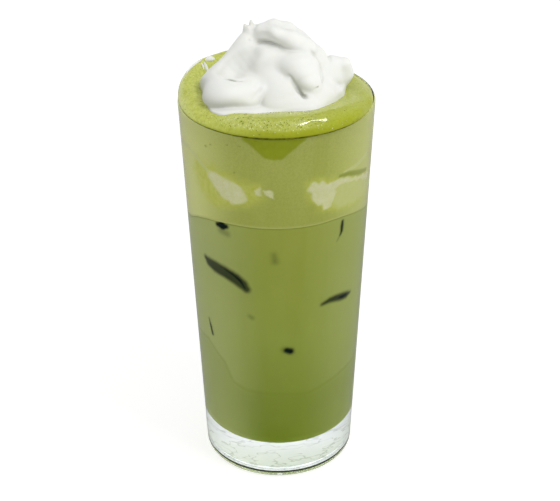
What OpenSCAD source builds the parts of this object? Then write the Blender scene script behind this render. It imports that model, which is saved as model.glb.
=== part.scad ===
// Iced matcha latte in a straight tapered tumbler, topped with foam and a spooned dollop of cream.
// The origin is the middle of the glass's foot, +Z is up, and -Y is the front. Lengths are in millimetres.

/* [Glass] */
// Outer diameter of the rim
rim_d = 78; // [70:0.5:90]
// Outer diameter of the foot, where the taper would meet the table
foot_d = 63.6; // [56:0.2:68]
// Height of the glass
glass_h = 165; // [150:1:180]
// Wall thickness at the rim
rim_wall = 1.9; // [1.5:0.1:2.6]
// Wall thickness at the floor of the drink
foot_wall = 3.1; // [2.4:0.1:4]
// Thickness of the clear base, from the table to the floor of the drink
base_t = 16; // [10:0.5:20]
// Radius of the rounded corner at the floor of the drink
floor_r = 5; // [2:0.5:8]
// Radius of the rounded heel at the foot
heel_r = 1.8; // [1:0.1:3]
// Radius of the hollow under the base
punt_r = 25; // [20:0.5:27]
// Depth of the hollow under the base
punt_depth = 1.6; // [0.5:0.1:3]

/* [Drink] */
// Height where the latte ends and the foam begins
latte_top = 125; // [100:1:135]
// How far the foam swells above the rim at the front left
foam_swell = 7.2; // [5:0.1:9]
// How much lower the foam lies at the back right
foam_slump = 3.2; // [0:0.1:4]

/* [Cream] */
// Height of the cream's widest level above the rim
cream_seat = 4; // [2.5:0.5:5]
// Depth that the cream sinks below its widest level
cream_sink = 6; // [3:0.5:10]
// Radius of the dollop's round body
dollop_r = 30.6; // [29:0.2:31]

/* [Mesh] */
// Number of steps round the foam and the cream
steps_round = 72; // [48:4:80]
// Number of steps from the cream's edge to its top
steps_up = 24; // [16:1:26]

/* [Hidden] */

glass_clear = [0.88, 0.93, 0.91, 0.35];
latte_green = [0.52, 0.56, 0.25];
foam_green = [0.70, 0.74, 0.40];
cream_white = [0.95, 0.95, 0.93];

round_fn = 128;      // steps of a full turn where OpenSCAD draws a revolved solid
arc_steps = 6;       // steps of a rounded corner in a profile
ring_steps = 8;      // steps of the foam's swell, from the rim to the cream
lip_drop = 1;        // the foam meets the wall this far below the rim's top
fold_keep = 0.4;     // how sharply the cream's lobes meet: smaller is sharper
slump_at = 40;       // direction of the foam's lowest side, in degrees from +X

rim_r = rim_d / 2;
foot_r = foot_d / 2;
lip_r = rim_wall / 2;
lip_z = glass_h - lip_r;
foam_lip_z = glass_h - lip_drop;
cream_level = glass_h + cream_seat;
cream_floor = cream_level - cream_sink;

// The cream's lobes, each a row of balls [x, y, z above the rim, radius] that are swept one into the next.
body_lobe = [[0, 0, -7.5, dollop_r]];
crest_lobe = [[-9, 1, 23, 4.5], [-1, 2, 26, 5], [6, 2, 25.5, 5.5], [12, 2, 21.5, 6], [18, 1, 14, 7]];
tip_lobe = [[-8, 1, 24, 3], [-11, 1, 29, 1.2]];
tongue_lobe = [[0, -2, 14, 14], [8, -10, 11, 13], [12, -15, 5, 11]];
left_lobe = [[-6, 1, 8, 17], [-14, -5, 3, 16]];
right_lobe = [[14, 1, 8, 11], [20, 0, 4.5, 11]];
apron_lobe = [[2, -15, -2, 15], [14, -11, -2, 15]];
lobes = [body_lobe, crest_lobe, tip_lobe, tongue_lobe, left_lobe, right_lobe, apron_lobe];
balls_between = 4;   // balls added between two that are listed

// Outer and inner radius of the glass at a height
function outer_r(z) = foot_r + (rim_r - foot_r) * z / glass_h;
function wall_at(z) = foot_wall + (rim_wall - foot_wall) * (z - base_t) / (glass_h - base_t);
function inner_r(z) = outer_r(z) - wall_at(z);

// Points of an arc about c, from one angle to another
function arc(c, r, from, to) =
    [for (i = [0:arc_steps]) let (a = from + (to - from) * i / arc_steps) c + r * [cos(a), sin(a)]];

// The floor and wall that hold the drink, from the middle of the floor up to a height
function inside_profile(top) = concat(
    [[0, base_t]],
    arc([inner_r(base_t + floor_r) - floor_r, base_t + floor_r], floor_r, -90, 0),
    [[inner_r(top), top]]);

module glass() {
    outside = concat(
        [[0, punt_depth], [punt_r - 2 * punt_depth, punt_depth], [punt_r, 0]],
        arc([outer_r(heel_r) - heel_r, heel_r], heel_r, -90, 0));
    lip = arc([rim_r - lip_r, lip_z], lip_r, 0, 180);
    inside = inside_profile(lip_z);
    color(glass_clear)
        rotate_extrude($fn = round_fn)
            polygon(concat(outside, lip, [for (i = [len(inside) - 1:-1:0]) inside[i]]));
}

module latte() {
    color(latte_green)
        rotate_extrude($fn = round_fn)
            polygon(concat(inside_profile(latte_top), [[0, latte_top]]));
}

// Balls of one lobe, with more put between those listed
function swept(lobe) = len(lobe) == 1 ? lobe :
    [for (i = [0:len(lobe) - 2], k = [0:balls_between])
        lobe[i] + (lobe[i + 1] - lobe[i]) * k / (balls_between + (i == len(lobe) - 2 ? 0 : 1))];

balls = [for (lobe = lobes) each swept(lobe)];

// How far a ray from the middle of the cream's level runs in a direction before it leaves a ball
function way_out(dir, ball) =
    let (centre = [ball[0], ball[1], ball[2] - cream_seat],
         along = dir * centre,
         square = along * along - centre * centre + ball[3] * ball[3])
    square > 0 ? max(0, along + sqrt(square)) : 0;

// The cream's surface in a direction, where the farthest balls blend into one another
function cream_reach(turn, rise) =
    let (dir = [cos(rise) * cos(turn), cos(rise) * sin(turn), sin(rise)],
         ways = [for (b = balls) way_out(dir, b)],
         far = max(ways))
    far + fold_keep * ln([for (w = ways) exp((w - far) / fold_keep)] * [for (w = ways) 1]) * 0.5;

function turn_of(i) = 360 * i / steps_round;

// Faces of a closed shell made of equal rings between a first and a last point
function shell_faces(rings) =
    let (n = steps_round, last = rings * n + 1)
    concat(
        [for (i = [0:n - 1]) [0, 1 + i, 1 + (i + 1) % n]],
        [for (k = [0:rings - 2], i = [0:n - 1])
            let (a = 1 + k * n + i, b = 1 + k * n + (i + 1) % n) each [[a, a + n, b], [b, a + n, b + n]]],
        [for (i = [0:n - 1]) [last, last - n + (i + 1) % n, last - n + i]]);

// A shell from its rings, each a function of the turn that is already worked out as points
module shell(first, rings, last) {
    points = concat([first], [for (ring = rings) each ring], [last]);
    polyhedron(points = points, faces = shell_faces(len(rings)), convexity = 6);
}

function ring(r_of, z_of) = [for (i = [0:steps_round - 1]) [r_of[i] * cos(turn_of(i)), r_of[i] * sin(turn_of(i)), z_of[i]]];
function same(value) = [for (i = [0:steps_round - 1]) value];

cream_edge = [for (i = [0:steps_round - 1]) cream_reach(turn_of(i), 0)];

// Height of the foam above the rim where it swells most, at a turn
function swell_at(turn) = foam_swell - foam_slump * pow((1 + cos(turn - slump_at)) / 2, 2);

// The foam's top at a share of the way from the wall to the cream: up in a round shoulder, then down a little
function foam_rise(share, turn) =
    lip_drop + swell_at(turn) * sqrt(1 - pow(1 - min(1, share * 1.5), 2))
    - max(0, share * 1.5 - 1) * 2 * (swell_at(turn) - cream_seat);

module foam() {
    wall_r = inner_r(foam_lip_z);
    swell_rings = [for (k = [1:ring_steps])
        let (s = k / ring_steps)
        ring([for (i = [0:steps_round - 1]) wall_r + (cream_edge[i] - wall_r) * s],
             [for (i = [0:steps_round - 1])
                 k == ring_steps ? cream_level : foam_lip_z - lip_drop + foam_rise(s, turn_of(i))])];
    color(foam_green)
        shell([0, 0, latte_top],
            concat(
                [ring(same(inner_r(latte_top)), same(latte_top)), ring(same(wall_r), same(foam_lip_z))],
                swell_rings,
                [ring(cream_edge, same(cream_floor))]),
            [0, 0, cream_floor]);
}

module cream() {
    dome = [for (k = [0:steps_up - 1])
        let (rise = 90 * k / steps_up,
             reach = [for (i = [0:steps_round - 1]) cream_reach(turn_of(i), rise)])
        ring([for (w = reach) w * cos(rise)], [for (w = reach) cream_level + w * sin(rise)])];
    color(cream_white)
        shell([0, 0, cream_floor],
            concat([ring(cream_edge, same(cream_floor))], dome),
            [0, 0, cream_level + cream_reach(0, 90)]);
}

glass();
latte();
foam();
cream();
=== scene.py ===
# %% [markdown]
# # An iced green tea latte, built round its packed construction
# A tall tumbler holds a milky green drink, a deep layer of foam that swells out over the rim, and a folded
# dollop of whipped cream. The construction model gives the four solids at their real size. Everything here
# is made in metres in that same frame, so each piece goes where the construction says and nothing is fitted.

# %% Load the frame
import math

import bmesh
import bpy
import numpy as np
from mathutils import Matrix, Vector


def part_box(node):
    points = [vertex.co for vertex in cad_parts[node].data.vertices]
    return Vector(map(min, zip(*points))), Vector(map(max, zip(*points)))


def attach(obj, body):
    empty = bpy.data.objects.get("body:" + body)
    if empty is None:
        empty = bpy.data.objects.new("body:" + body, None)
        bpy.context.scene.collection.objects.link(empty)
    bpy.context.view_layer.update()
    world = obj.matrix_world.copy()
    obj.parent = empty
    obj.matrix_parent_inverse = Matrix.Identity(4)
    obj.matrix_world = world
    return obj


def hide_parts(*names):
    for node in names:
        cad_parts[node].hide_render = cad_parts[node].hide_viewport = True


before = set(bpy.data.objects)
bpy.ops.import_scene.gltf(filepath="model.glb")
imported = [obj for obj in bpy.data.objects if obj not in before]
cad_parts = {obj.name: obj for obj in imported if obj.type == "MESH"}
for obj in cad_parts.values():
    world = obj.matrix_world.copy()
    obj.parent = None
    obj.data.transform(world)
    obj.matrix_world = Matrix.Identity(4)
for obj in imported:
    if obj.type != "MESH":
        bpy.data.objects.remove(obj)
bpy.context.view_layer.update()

import openvdb
from mathutils import Matrix, Vector

MM = 0.001
print("nodes:", sorted(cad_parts))

# %% [markdown]
# ## Sizes that the frame gives
# A drink's parts depend on one another: the foam leans on the wall, and the cream sits on the foam. So the
# radii and levels are read from the boxes of three of the nodes, and only what no box can tell, such as the
# thickness of the foot, is named here as a number of its own.

# %% Sizes
_, glass_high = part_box("glass")
latte_low, latte_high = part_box("latte")
_, foam_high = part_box("foam")
RIM = glass_high.z                       # height of the rim
RIM_RADIUS = glass_high.x
FLOOR = latte_low.z                      # floor of the drink
FOAM_LINE = latte_high.z                 # where latte ends and foam begins
FOOT_RADIUS = 31.8 * MM                  # where the taper would meet the table
LIP_DROP = 1.0 * MM                      # the foam leaves the wall this far below the rim
INTO_WALL = 0.03 * MM                    # what fills the glass reaches this far into its wall
bore_slope = (foam_high.x - latte_high.x) / (RIM - LIP_DROP - FOAM_LINE)


def bore(z):
    """Inner radius of the glass at a height."""
    return latte_high.x + bore_slope * (z - FOAM_LINE)


def outside(z):
    """Outer radius of the glass at a height."""
    return FOOT_RADIUS + (RIM_RADIUS - FOOT_RADIUS) * z / RIM


print(f"rim {RIM / MM:.0f} mm high, wall {(outside(RIM) - bore(RIM)) / MM:.1f} mm at the rim")

# %% [markdown]
# ## A small language for node trees
# Materials and Geometry Nodes are both trees of nodes. Written out call by call they are long and hard to
# read, so two small classes carry the work. A `Wire` is an output socket that Python's own operators can be
# used on: `1 - mask * 0.3` adds the Math nodes that it says. A `Tree` adds any other node from its type, its
# settings and the values or wires of its inputs.

# %% Wires and trees


class Wire:
    """An output socket; an operator on it adds one Math node."""

    def __init__(self, tree, socket):
        self.tree = tree
        self.socket = socket

    def math(self, operation, *values):
        return self.tree.add("ShaderNodeMath", {"operation": operation}, dict(enumerate(values)))

    def __add__(self, other):
        return self.math("ADD", self, other)

    def __sub__(self, other):
        return self.math("SUBTRACT", self, other)

    def __rsub__(self, other):
        return self.math("SUBTRACT", other, self)

    def __mul__(self, other):
        return self.math("MULTIPLY", self, other)

    def __truediv__(self, other):
        return self.math("DIVIDE", self, other)

    def __rtruediv__(self, other):
        return self.math("DIVIDE", other, self)

    __radd__ = __add__
    __rmul__ = __mul__

    def floor(self):
        return self.math("FLOOR", self)

    def between(self, low, high):
        """0 below low, 1 above high, and a smooth rise from one to the other."""
        return self.tree.add("ShaderNodeMapRange", {"interpolation_type": "SMOOTHSTEP"},
                             {"Value": self, "From Min": low, "From Max": high})

    def other(self, name):
        """Another output of the same node."""
        return Wire(self.tree, self.tree.socket(self.socket.node.outputs, name))


class Tree:
    """A node tree to which nodes are added by type."""

    def __init__(self, tree):
        self.nodes = tree.nodes
        self.links = tree.links

    def socket(self, sockets, key):
        if isinstance(key, int):
            return sockets[key]
        return next(s for s in sockets if s.enabled and s.name == key)

    def add(self, kind, settings=None, inputs=None, output=None):
        node = self.nodes.new(kind)
        for name, value in (settings or {}).items():
            if name == "stops":
                self.set_stops(node.color_ramp.elements, value)
            else:
                setattr(node, name, value)
        self.plug(node, inputs or {})
        usable = [s for s in node.outputs if s.enabled]
        if not usable:
            return None
        return Wire(self, usable[0] if output is None else self.socket(node.outputs, output))

    def plug(self, node, inputs):
        for key, value in inputs.items():
            target = self.socket(node.inputs, key)
            if isinstance(value, Wire):
                self.links.new(value.socket, target)
            else:
                target.default_value = value

    def set_stops(self, elements, stops):
        for index, (place, colour) in enumerate(stops):
            stop = elements[index] if index < 2 else elements.new(place)
            stop.position = place
            stop.color = colour


# %% [markdown]
# ## Finishes
# Every finish starts from the same shader. Numbers that are the same all over go straight on its sockets,
# and only what changes over the surface is wired. Colours are mixed by Mix nodes, because a Math node would
# turn them grey. A drink that touches its glass looks darker than it is, because the smooth outside of the
# wall turns over half of its scattered light back in, so such colours are worked out from how they look.

# %% Material helper


def rgb(red, green, blue):
    """A colour as a screen shows it, from 0 to 255, made into the light that a shader works with."""
    def to_light(value):
        v = value / 255
        return v / 12.92 if v <= 0.04045 else ((v + 0.055) / 1.055) ** 2.4
    return (to_light(red), to_light(green), to_light(blue), 1.0)


ESCAPES = 0.340            # share of the light scattered by the drink that gets out through the wall
TURNED_BACK = 0.556        # share that the wall throws back onto the drink


def behind_glass(red, green, blue):
    """The colour a drink needs in itself to look like this through glass that touches it."""
    return tuple(seen / (ESCAPES + TURNED_BACK * seen) for seen in rgb(red, green, blue)[:3]) + (1.0,)


class Finish(Tree):
    """A material whose tree is written with wires."""

    def __init__(self, name, **uniform):
        self.material = bpy.data.materials.new(name)
        self.material.use_nodes = True
        super().__init__(self.material.node_tree)
        self.shader = self.nodes["Principled BSDF"]
        self.plug(self.shader, {key.replace("_", " "): value for key, value in uniform.items()})

    def place(self):
        return self.add("ShaderNodeTexCoord", output="Object")

    def noise(self, size, detail=2.0, roughness=0.5, stretch=None):
        """Soft noise from 0 to 1 whose blots are about as large as size, in metres."""
        where = self.place()
        if stretch:
            where = self.add("ShaderNodeVectorMath", {"operation": "MULTIPLY"}, {0: where, 1: stretch})
        return self.add("ShaderNodeTexNoise", None, {"Vector": where, "Scale": 1 / size, "Detail": detail,
                                                      "Roughness": roughness})

    def cells(self, size):
        """Distance from the middles of cells that are about as large as size."""
        return self.add("ShaderNodeTexVoronoi", {"feature": "F1"},
                        {"Vector": self.place(), "Scale": 1 / size}, output="Distance")

    def painted(self, name):
        """A number that the maker stored on the mesh under a name."""
        return self.add("ShaderNodeAttribute", {"attribute_name": name}, output="Fac")

    def mix(self, share, first, second):
        return self.add("ShaderNodeMix", {"data_type": "RGBA"}, {"Factor": share, "A": first, "B": second})

    def layered(self, colour, layers):
        """A colour with others laid over it, each given as its share and the colour itself."""
        for share, over in layers:
            colour = self.mix(share, colour, over)
        return colour

    def bump(self, height, depth, strength=1.0):
        return self.add("ShaderNodeBump", None, {"Height": height, "Distance": depth, "Strength": strength})


# %% [markdown]
# ## Meshes from rings, and how they are kept
# Foam, latte and glass all turn round one axis, but not all in the same way, so a ring surface is built from
# arrays: one row for each level and one column for each direction. Directions are given in degrees from the
# front, where a positive one goes round to the right, because that is how someone standing before the glass
# would say it.

# %% Mesh helpers


def keep(name, mesh, material=None):
    """Makes an object of a mesh, smooth shaded, at the origin."""
    piece = bpy.data.objects.new(name, mesh)
    bpy.context.scene.collection.objects.link(piece)
    mesh.shade_smooth()
    if material:
        mesh.materials.clear()
        mesh.materials.append(material)
    triangles = sum(len(p.vertices) - 2 for p in mesh.polygons)
    print(f"{name}: {len(mesh.vertices)} points, {triangles} triangles, {volume_of(mesh):.1f} cubic cm")
    return piece


def around(steps):
    """Directions of a full turn, in degrees from the front."""
    return -180 + 360 * np.arange(steps) / steps


def spot(direction, radius, z):
    """Point at a direction and radius, as x, y, z."""
    turn = np.radians(direction)
    return np.stack(np.broadcast_arrays(radius * np.sin(turn), -radius * np.cos(turn), z), -1)


def ring_mesh(name, points):
    """A closed surface from rows x columns of points, whose first and last row shrink to a point."""
    rows, columns = points.shape[:2]
    inner = points[1:-1].reshape(-1, 3)
    corners = [tuple(points[0].mean(0))] + [tuple(p) for p in inner] + [tuple(points[-1].mean(0))]
    column = np.arange(columns)
    nxt = (column + 1) % columns
    faces = [(0, 1 + b, 1 + a) for a, b in zip(column, nxt)]
    for row in range(rows - 3):
        low = 1 + row * columns
        high = low + columns
        faces += [(low + a, low + b, high + b, high + a) for a, b in zip(column, nxt)]
    last = len(corners) - 1
    start = last - columns
    faces += [(start + a, start + b, last) for a, b in zip(column, nxt)]
    mesh = bpy.data.meshes.new(name)
    mesh.from_pydata(corners, [], faces)
    return mesh


def paint(mesh, name, values):
    """Stores one number for each point of a mesh."""
    mesh.attributes.new(name, "FLOAT", "POINT").data.foreach_set("value", np.asarray(values, np.float32))


def volume_of(mesh):
    """Volume in cubic centimetres; it comes out negative when the faces point inwards."""
    work = bmesh.new()
    work.from_mesh(mesh)
    volume = work.calc_volume(signed=True)
    work.free()
    return volume * 1e6


def points_of(mesh):
    found = np.zeros(len(mesh.vertices) * 3, np.float32)
    mesh.vertices.foreach_get("co", found)
    return found.reshape(-1, 3)


def ripple(points, size, seed, waves=14):
    """Smooth uneven swell from about -1 to 1, made of plane waves in chance directions."""
    chance = np.random.default_rng(seed)
    ways = chance.normal(size=(waves, 3))
    lengths = np.linalg.norm(ways, axis=1)[:, None]
    ways *= (2 * math.pi / size) * chance.uniform(0.6, 1.5, (waves, 1)) / lengths
    phases = chance.uniform(0, 2 * math.pi, waves)
    return np.sin(points @ ways.T + phases).sum(-1) * math.sqrt(2 / waves) / 1.5


def round_table(table, directions, soften=24):
    """Values of a table {direction: value} at any directions, joined smoothly all the way round."""
    known = np.array(sorted(table.items()), float)
    whole = np.arange(-180, 180)
    plain = np.interp(whole, known[:, 0], known[:, 1], period=360)
    window = np.hanning(soften + 2)[1:-1]
    window /= window.sum()
    looped = np.concatenate([plain[-soften:], plain, plain[:soften]])
    smooth = np.convolve(looped, window, "same")[soften:-soften]
    return np.interp(directions, whole, smooth, period=360)


def smooth_rise(values, low, high):
    share = np.clip((values - low) / (high - low), 0, 1)
    return share * share * (3 - 2 * share)


# %% [markdown]
# ## The camera
# It stands before the glass and looks down on it at about thirty degrees with a short telephoto lens, close
# enough that the rim is seen flatter than the foot. It is turned by a third of a degree about its own line
# of sight, as a hand-held camera is.

# %% Camera
CAMERA_RISE = math.radians(30.35)
CAMERA_ROLL = math.radians(0.367)
CAMERA_REACH = 0.632
CAMERA_AIM = Vector((0.001, 0, 0.0944))
camera = bpy.data.objects.new("camera", bpy.data.cameras.new("camera"))
bpy.context.scene.collection.objects.link(camera)
camera.data.sensor_width = 36
camera.data.lens = 97.24
camera.data.clip_start = 0.01
backwards = Vector((0, -math.cos(CAMERA_RISE), math.sin(CAMERA_RISE)))
camera.location = CAMERA_AIM + backwards * CAMERA_REACH
camera.rotation_mode = "QUATERNION"
upright = (-backwards).to_track_quat("-Z", "Y")
camera.rotation_quaternion = upright @ Matrix.Rotation(-CAMERA_ROLL, 4, "Z").to_quaternion()
bpy.context.scene.camera = camera
print("camera at", [round(c, 3) for c in camera.location])

# %% [markdown]
# ## The glass
# A tumbler is blown or pressed in a mould, and its shape is a half outline turned round an axis. Blender's
# Spin or Screw would do it, but a Geometry Nodes lathe is easier to change: the outline stays a line, and the
# tree turns it. The heavy foot is never perfectly even, and what makes it look like glass is how its
# ripples bend the light, so the lathe also pushes the points near the foot about a little.

# %% A lathe made of nodes


def new_group(name, inputs):
    """A group of Geometry Nodes with a mesh, named inputs and a material going in, and a mesh coming out."""
    group = bpy.data.node_groups.new(name, "GeometryNodeTree")
    for label, kind, value in (("Geometry", "Geometry", None), *inputs, ("Material", "Material", None)):
        socket = group.interface.new_socket(label, in_out="INPUT", socket_type="NodeSocket" + kind)
        if value is not None:
            socket.default_value = value
    group.interface.new_socket("Geometry", in_out="OUTPUT", socket_type="NodeSocketGeometry")
    return group, Tree(group)


def lathe_tree():
    """Geometry Nodes that turn an outline in the XZ plane into a closed solid."""
    group, tree = new_group("lathe", [("Steps Round", "Int", 256), ("Ripple Depth", "Float", 0.0),
                                      ("Ripple Size", "Float", 0.01), ("Ripple Height", "Float", 0.02)])
    given = tree.add("NodeGroupInput", output="Geometry")
    steps = given.other("Steps Round")
    rows = tree.add("GeometryNodeAttributeDomainSize", None, {"Geometry": given}, output="Point Count")
    columns = steps + 1
    grid = tree.add("GeometryNodeMeshGrid", None, {"Vertices X": rows, "Vertices Y": columns}, output="Mesh")
    index = tree.add("GeometryNodeInputIndex")
    row = (index / columns + 0.0001).floor()
    column = index - row * columns
    outline_place = tree.add("GeometryNodeInputPosition")
    outline_point = tree.add("GeometryNodeSampleIndex", {"data_type": "FLOAT_VECTOR"},
                             {"Geometry": given, "Value": outline_place, "Index": row})
    turned = tree.add("ShaderNodeVectorRotate", {"rotation_type": "Z_AXIS"},
                      {"Vector": outline_point, "Angle": column * (2 * math.pi) / steps})
    solid = tree.add("GeometryNodeSetPosition", None, {"Geometry": grid, "Position": turned})
    joined = tree.add("GeometryNodeMergeByDistance", None, {"Geometry": solid, "Distance": 0.00001})
    place = tree.add("GeometryNodeInputPosition")
    height = tree.add("ShaderNodeSeparateXYZ", None, {"Vector": place}, output="Z")
    near_foot = height.between(0.0, 0.001) - height.between(given.other("Ripple Height") * 0.7,
                                                            given.other("Ripple Height"))
    swirl = tree.add("ShaderNodeTexNoise", None, {"Vector": place, "Detail": 1.0, "Distortion": 0.6,
                                                  "Scale": 1 / given.other("Ripple Size")}, output="Color")
    centred = tree.add("ShaderNodeVectorMath", {"operation": "SUBTRACT"}, {0: swirl, 1: (0.5, 0.5, 0.5)})
    push = tree.add("ShaderNodeVectorMath", {"operation": "SCALE"},
                    {0: centred, "Scale": near_foot * given.other("Ripple Depth")})
    uneven = tree.add("GeometryNodeSetPosition", None, {"Geometry": joined, "Offset": push})
    faced = tree.add("GeometryNodeFlipFaces", None, {"Mesh": uneven})
    smooth = tree.add("GeometryNodeSetShadeSmooth", None, {"Geometry": faced})
    real = tree.add("GeometryNodeRealizeInstances", None, {"Geometry": smooth})
    dressed = tree.add("GeometryNodeSetMaterial", None,
                       {"Geometry": real, "Material": given.other("Material")})
    tree.add("NodeGroupOutput", None, {"Geometry": dressed})
    return group


def grow(name, mesh, group, values):
    """Runs a tree of Geometry Nodes on a mesh and returns the result as a plain object."""
    start = bpy.data.objects.new(name + "_start", mesh)
    bpy.context.scene.collection.objects.link(start)
    modifier = start.modifiers.new("grow", "NODES")
    modifier.node_group = group
    for item in group.interface.items_tree:
        if item.in_out == "INPUT" and item.name in values:
            modifier[item.identifier] = values[item.name]
    grown = start.evaluated_get(bpy.context.evaluated_depsgraph_get())
    result = bpy.data.meshes.new_from_object(grown)
    start.modifiers.remove(modifier)
    bpy.data.objects.remove(start)
    return keep(name, result)


LATHE = lathe_tree()
print("lathe tree has", len(LATHE.nodes), "nodes")

# %% [markdown]
# ### Its outline
# Straight stretches are cut into short pieces, because a long thin face next to a small curve takes some of
# the curve's shading and bends the light where real glass would not.

# %% Outline of the glass


def arc(centre, radius, start, end, steps=8):
    """Points of an arc in the outline, from one angle to another, in degrees."""
    angles = np.radians(np.linspace(start, end, steps + 1))
    return [(centre[0] + radius * math.cos(a), centre[1] + radius * math.sin(a)) for a in angles]


def stretch(start, end, longest=3 * MM):
    """Points between two ends of a straight stretch, without the ends."""
    count = max(1, math.ceil(math.dist(start, end) / longest))
    return [(start[0] + (end[0] - start[0]) * k / count, start[1] + (end[1] - start[1]) * k / count)
            for k in range(1, count)]


def joined_up(*runs):
    """Runs of points joined by straight stretches."""
    points = list(runs[0])
    for run in runs[1:]:
        points += stretch(points[-1], run[0]) + list(run)
    return points


HEEL = 1.8 * MM
PUNT_RADIUS = 25 * MM
PUNT_DEPTH = 1.6 * MM
FLOOR_ROUND = 5 * MM
wall_at_rim = outside(RIM) - bore(RIM)
lip = wall_at_rim / 2


def inside_outline(top, extra=0.0):
    """The floor and wall that hold the drink, from the middle of the floor up to a height."""
    corner = (bore(FLOOR + FLOOR_ROUND) + extra - FLOOR_ROUND, FLOOR + FLOOR_ROUND - extra)
    return joined_up([(0, FLOOR - extra)], arc(corner, FLOOR_ROUND, -90, 0), [(bore(top) + extra, top)])


def outline_mesh(points):
    mesh = bpy.data.meshes.new("outline")
    mesh.from_pydata([(r, 0, z) for r, z in points], [(k, k + 1) for k in range(len(points) - 1)], [])
    return mesh


glass_outline = joined_up(
    [(0, PUNT_DEPTH)],
    arc((PUNT_RADIUS - 3 * MM, PUNT_DEPTH - 2 * MM), 2 * MM, 90, 40, 5),
    arc((PUNT_RADIUS + 2.2 * MM, 1.4 * MM), 1.4 * MM, 220, 270, 5),
    arc((outside(HEEL) - HEEL, HEEL), HEEL, -90, 0),
    arc((RIM_RADIUS - lip, RIM - lip), lip, 0, 180, 12),
    inside_outline(RIM - lip)[::-1])
print(len(glass_outline), "points in the outline of the glass")

# %% [markdown]
# ### Clear glass
# Soda-lime glass bends light by 1.5 and is faintly green where it is thick. Its surface is smooth, with the
# faint unevenness of the mould low down, which a small bump adds to the ripples of the mesh. What a white
# table sends up through the base is a painted glow that the underside gives off, with thin darker streaks
# in it. Light that is turned back inside the base hides most of what lies on the underside, so two rings
# there show only faintly. These rings and the two dark lines that the heel shows, where real glass darkens
# by bending the light, are painted shade: dark bands on the underside and on the outside of the wall.

# %% Glass finish and piece
clear = Finish("clear_glass", Roughness=0.0, IOR=1.5, Transmission_Weight=1.0)
height_on_glass = clear.add("ShaderNodeSeparateXYZ", None, {"Vector": clear.place()}, output="Z")
level_place = clear.add("ShaderNodeVectorMath", {"operation": "MULTIPLY"}, {0: clear.place(), 1: (1, 1, 0)})
distance_out = clear.add("ShaderNodeVectorMath", {"operation": "LENGTH"}, {0: level_place}, output="Value")
low_down = 1 - height_on_glass.between(0.012, 0.02)
underside = (1 - height_on_glass.between(0.0018, 0.0024)) * (1 - distance_out.between(0.0262, 0.0272))
# Painted glow: the underside gives off pale light, with thin darker streaks, for what a white table sends up
# through the base.
swirl = clear.noise(0.0075, detail=2.0, roughness=0.55)
streak_in_painted_glow = 1 - swirl.math("ABSOLUTE", swirl - 0.5).between(0.0, 0.035)
painted_underside_glow = clear.mix(streak_in_painted_glow, (0.66, 0.68, 0.92, 1), (0.26, 0.28, 0.46, 1))
# Painted shade: thin rings under the base and two bands round the heel are painted dark, as colour and as
# metal, for the dark lines that bending light shows there.
inner_ring = distance_out.between(0.0266, 0.0267) * (1 - distance_out.between(0.0271, 0.0272))
outer_ring = distance_out.between(0.0283, 0.0285) * (1 - distance_out.between(0.0294, 0.0296))
painted_under_rings = (inner_ring * 0.5 + outer_ring) * (1 - height_on_glass.between(0.0008, 0.0014))
painted_heel_line = height_on_glass.between(0.0023, 0.0025) * (1 - height_on_glass.between(0.0032, 0.0034))
painted_upper_line = height_on_glass.between(0.0041, 0.0042) * (1 - height_on_glass.between(0.0043, 0.0044))
painted_dark_lines = painted_under_rings + (painted_heel_line * 0.95 + painted_upper_line * 0.35) * distance_out.between(0.0300, 0.0306)
clear.plug(clear.shader, {
    "Normal": clear.bump(clear.noise(0.005, detail=1.0) * low_down, 0.0004, 0.35),
    "Roughness": underside * 0.5,
    "Emission Color": clear.mix(underside * (1 - painted_dark_lines), (0, 0, 0, 1), painted_underside_glow),
    "Emission Strength": 0.43,
    "Metallic": painted_dark_lines,
    "Base Color": clear.mix(painted_dark_lines, (0.985, 0.995, 0.985, 1), (0.16, 0.20, 0.16, 1))})

glass = grow("tumbler", outline_mesh(glass_outline), LATHE,
             {"Steps Round": 256, "Ripple Depth": 0.28 * MM, "Ripple Size": 8 * MM, "Ripple Height": 14 * MM,
              "Material": clear.material})
glass_centre = sum((v.co for v in glass.data.vertices), Vector()) / len(glass.data.vertices)
print("glass points balance at", [round(c / MM, 2) for c in glass_centre])
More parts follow.
